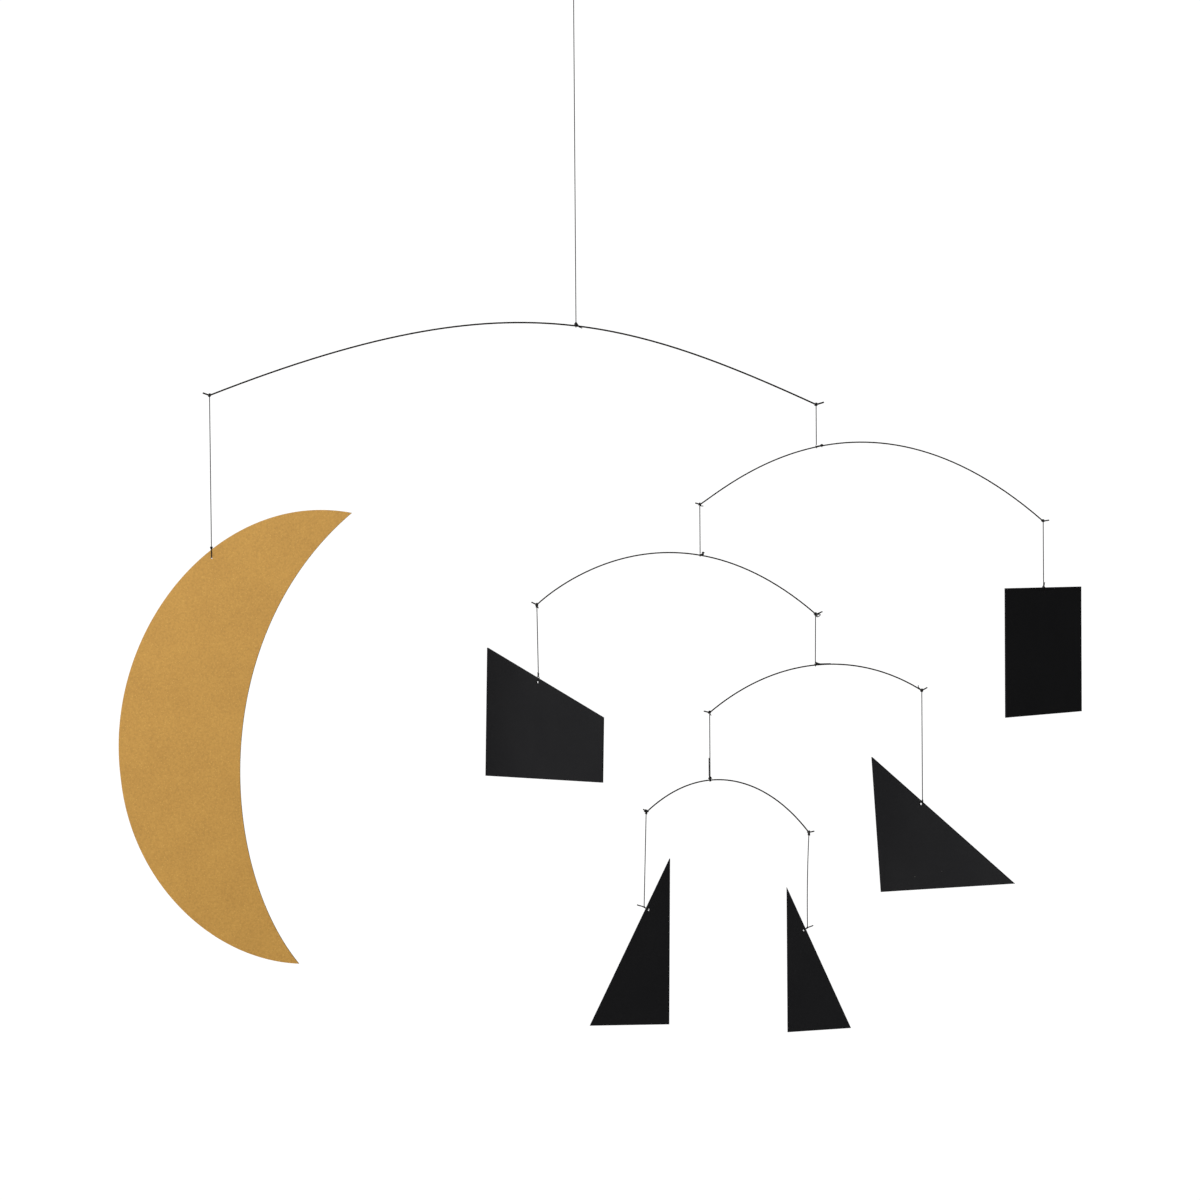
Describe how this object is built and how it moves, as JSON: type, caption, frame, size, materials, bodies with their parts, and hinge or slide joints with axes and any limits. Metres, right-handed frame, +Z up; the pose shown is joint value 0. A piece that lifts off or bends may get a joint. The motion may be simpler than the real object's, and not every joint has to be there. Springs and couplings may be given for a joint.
{
  "type": "hanging mobile sculpture",
  "caption": "Balanced hanging mobile: bowed steel wires under each other on threads, carrying a gold crescent moon and flat black geometric boards.",
  "frame": {"origin": "inside top of the thread loop that the mobile hangs by", "axes": "+Z up along the hanging thread, +X along the wire arms towards the side with the black boards, +Y away from the viewer"},
  "size_m": [0.7607, 0.1544, 0.8431],
  "materials": {
    "gold_board": "satin",
    "black_board": "matte",
    "steel_wire": "satin",
    "thread": "matte"
  },
  "bodies": {
    "hanging_line": {"hanging_thread": "thread"},
    "top_tie": {"top_arm_tie": "thread"},
    "top_wire": {"top_arm": "steel_wire"},
    "moon_line": {"moon_thread": "thread"},
    "moon": {"gold_moon": "gold_board", "moon_knot": "thread"},
    "second_line": {"second_arm_thread": "thread"},
    "second_tie": {"second_arm_tie": "thread"},
    "second_wire": {"second_arm": "steel_wire"},
    "rectangle_line": {"rectangle_thread": "thread"},
    "rectangle": {"black_rectangle": "black_board", "rectangle_knot": "thread"},
    "third_line": {"third_arm_thread": "thread"},
    "third_tie": {"third_arm_tie": "thread"},
    "third_wire": {"third_arm": "steel_wire"},
    "trapezoid_line": {"trapezoid_thread": "thread"},
    "trapezoid": {"black_trapezoid": "black_board", "trapezoid_knot": "thread"},
    "fourth_line": {"fourth_arm_thread": "thread"},
    "fourth_tie": {"fourth_arm_tie": "thread"},
    "fourth_wire": {"fourth_arm": "steel_wire"},
    "large_triangle_line": {"large_triangle_thread": "thread"},
    "large_triangle": {"large_black_triangle": "black_board", "large_triangle_knot": "thread"},
    "bottom_line": {"bottom_arm_thread": "thread"},
    "bottom_tie": {"bottom_arm_tie": "thread"},
    "bottom_wire": {"bottom_arm": "steel_wire"},
    "left_triangle_line": {"left_triangle_thread": "thread"},
    "left_triangle": {"left_small_triangle": "black_board", "left_triangle_knot": "thread"},
    "right_triangle_line": {"right_triangle_thread": "thread"},
    "right_triangle": {"right_small_triangle": "black_board", "right_triangle_knot": "thread"}
  },
  "joints": [
    {"name": "top_swivel", "type": "hinge", "parent": "hanging_line", "child": "top_tie", "pos_m": [0, 0, -0.2904], "axis": [0, 0, 1], "continuous": true},
    {"name": "top_rock", "type": "hinge", "parent": "top_tie", "child": "top_wire", "pos_m": [0, 0, -0.2904], "axis": [0, 1, 0], "range_deg": [-8, 8]},
    {"name": "moon_line_level", "type": "hinge", "parent": "top_wire", "child": "moon_line", "pos_m": [-0.2861, 0, -0.34225], "axis": [0, 1, 0], "range_deg": [-8, 8]},
    {"name": "moon_swivel", "type": "hinge", "parent": "moon_line", "child": "moon", "pos_m": [-0.2861, 0, -0.46185], "axis": [0, 0, 1], "continuous": true},
    {"name": "second_line_level", "type": "hinge", "parent": "top_wire", "child": "second_line", "pos_m": [0.18675, 0, -0.35285], "axis": [0, 1, 0], "range_deg": [-8, 8]},
    {"name": "second_swivel", "type": "hinge", "parent": "second_line", "child": "second_tie", "pos_m": [0.18675, 0, -0.38605], "axis": [0, 0, 1], "continuous": true},
    {"name": "second_rock", "type": "hinge", "parent": "second_tie", "child": "second_wire", "pos_m": [0.18675, 0, -0.38605], "axis": [0, 1, 0], "range_deg": [-8, 8]},
    {"name": "rectangle_line_level", "type": "hinge", "parent": "second_wire", "child": "rectangle_line", "pos_m": [0.36324, 0, -0.44497], "axis": [0, 1, 0], "range_deg": [-8, 8]},
    {"name": "rectangle_swivel", "type": "hinge", "parent": "rectangle_line", "child": "rectangle", "pos_m": [0.36324, 0, -0.49457], "axis": [0, 0, 1], "continuous": true},
    {"name": "third_line_level", "type": "hinge", "parent": "second_wire", "child": "third_line", "pos_m": [0.09551, 0, -0.43164], "axis": [0, 1, 0], "range_deg": [-8, 8]},
    {"name": "third_swivel", "type": "hinge", "parent": "third_line", "child": "third_tie", "pos_m": [0.09551, 0, -0.46984], "axis": [0, 0, 1], "continuous": true},
    {"name": "third_rock", "type": "hinge", "parent": "third_tie", "child": "third_wire", "pos_m": [0.09551, 0, -0.46984], "axis": [0, 1, 0], "range_deg": [-8, 8]},
    {"name": "trapezoid_line_level", "type": "hinge", "parent": "third_wire", "child": "trapezoid_line", "pos_m": [-0.03134, 0, -0.50618], "axis": [0, 1, 0], "range_deg": [-8, 8]},
    {"name": "trapezoid_swivel", "type": "hinge", "parent": "trapezoid_line", "child": "trapezoid", "pos_m": [-0.03134, 0, -0.56158], "axis": [0, 0, 1], "continuous": true},
    {"name": "fourth_line_level", "type": "hinge", "parent": "third_wire", "child": "fourth_line", "pos_m": [0.18485, 0, -0.51619], "axis": [0, 1, 0], "range_deg": [-8, 8]},
    {"name": "fourth_swivel", "type": "hinge", "parent": "fourth_line", "child": "fourth_tie", "pos_m": [0.18485, 0, -0.55619], "axis": [0, 0, 1], "continuous": true},
    {"name": "fourth_rock", "type": "hinge", "parent": "fourth_tie", "child": "fourth_wire", "pos_m": [0.18485, 0, -0.55619], "axis": [0, 1, 0], "range_deg": [-8, 8]},
    {"name": "large_triangle_line_level", "type": "hinge", "parent": "fourth_wire", "child": "large_triangle_line", "pos_m": [0.26774, 0, -0.57639], "axis": [0, 1, 0], "range_deg": [-8, 8]},
    {"name": "large_triangle_swivel", "type": "hinge", "parent": "large_triangle_line", "child": "large_triangle", "pos_m": [0.26774, 0, -0.66239], "axis": [0, 0, 1], "continuous": true},
    {"name": "bottom_line_level", "type": "hinge", "parent": "fourth_wire", "child": "bottom_line", "pos_m": [0.10207, 0, -0.59243], "axis": [0, 1, 0], "range_deg": [-8, 8]},
    {"name": "bottom_swivel", "type": "hinge", "parent": "bottom_line", "child": "bottom_tie", "pos_m": [0.10207, 0, -0.64543], "axis": [0, 0, 1], "continuous": true},
    {"name": "bottom_rock", "type": "hinge", "parent": "bottom_tie", "child": "bottom_wire", "pos_m": [0.10207, 0, -0.64543], "axis": [0, 1, 0], "range_deg": [-8, 8]},
    {"name": "left_triangle_line_level", "type": "hinge", "parent": "bottom_wire", "child": "left_triangle_line", "pos_m": [0.05208, 0, -0.67097], "axis": [0, 1, 0], "range_deg": [-8, 8]},
    {"name": "left_triangle_swivel", "type": "hinge", "parent": "left_triangle_line", "child": "left_triangle", "pos_m": [0.04988, 0, -0.74337], "axis": [0, 0, 1], "continuous": true},
    {"name": "right_triangle_line_level", "type": "hinge", "parent": "bottom_wire", "child": "right_triangle_line", "pos_m": [0.17895, 0, -0.68652], "axis": [0, 1, 0], "range_deg": [-8, 8]},
    {"name": "right_triangle_swivel", "type": "hinge", "parent": "right_triangle_line", "child": "right_triangle", "pos_m": [0.17735, 0, -0.75982], "axis": [0, 0, 1], "continuous": true}
  ],
  "couplings": [
    {"joint": "moon_line_level", "follows": "top_rock", "ratio": -1},
    {"joint": "second_line_level", "follows": "top_rock", "ratio": -1},
    {"joint": "rectangle_line_level", "follows": "second_rock", "ratio": -1},
    {"joint": "third_line_level", "follows": "second_rock", "ratio": -1},
    {"joint": "trapezoid_line_level", "follows": "third_rock", "ratio": -1},
    {"joint": "fourth_line_level", "follows": "third_rock", "ratio": -1},
    {"joint": "large_triangle_line_level", "follows": "fourth_rock", "ratio": -1},
    {"joint": "bottom_line_level", "follows": "fourth_rock", "ratio": -1},
    {"joint": "left_triangle_line_level", "follows": "bottom_rock", "ratio": -1},
    {"joint": "right_triangle_line_level", "follows": "bottom_rock", "ratio": -1}
  ]
}
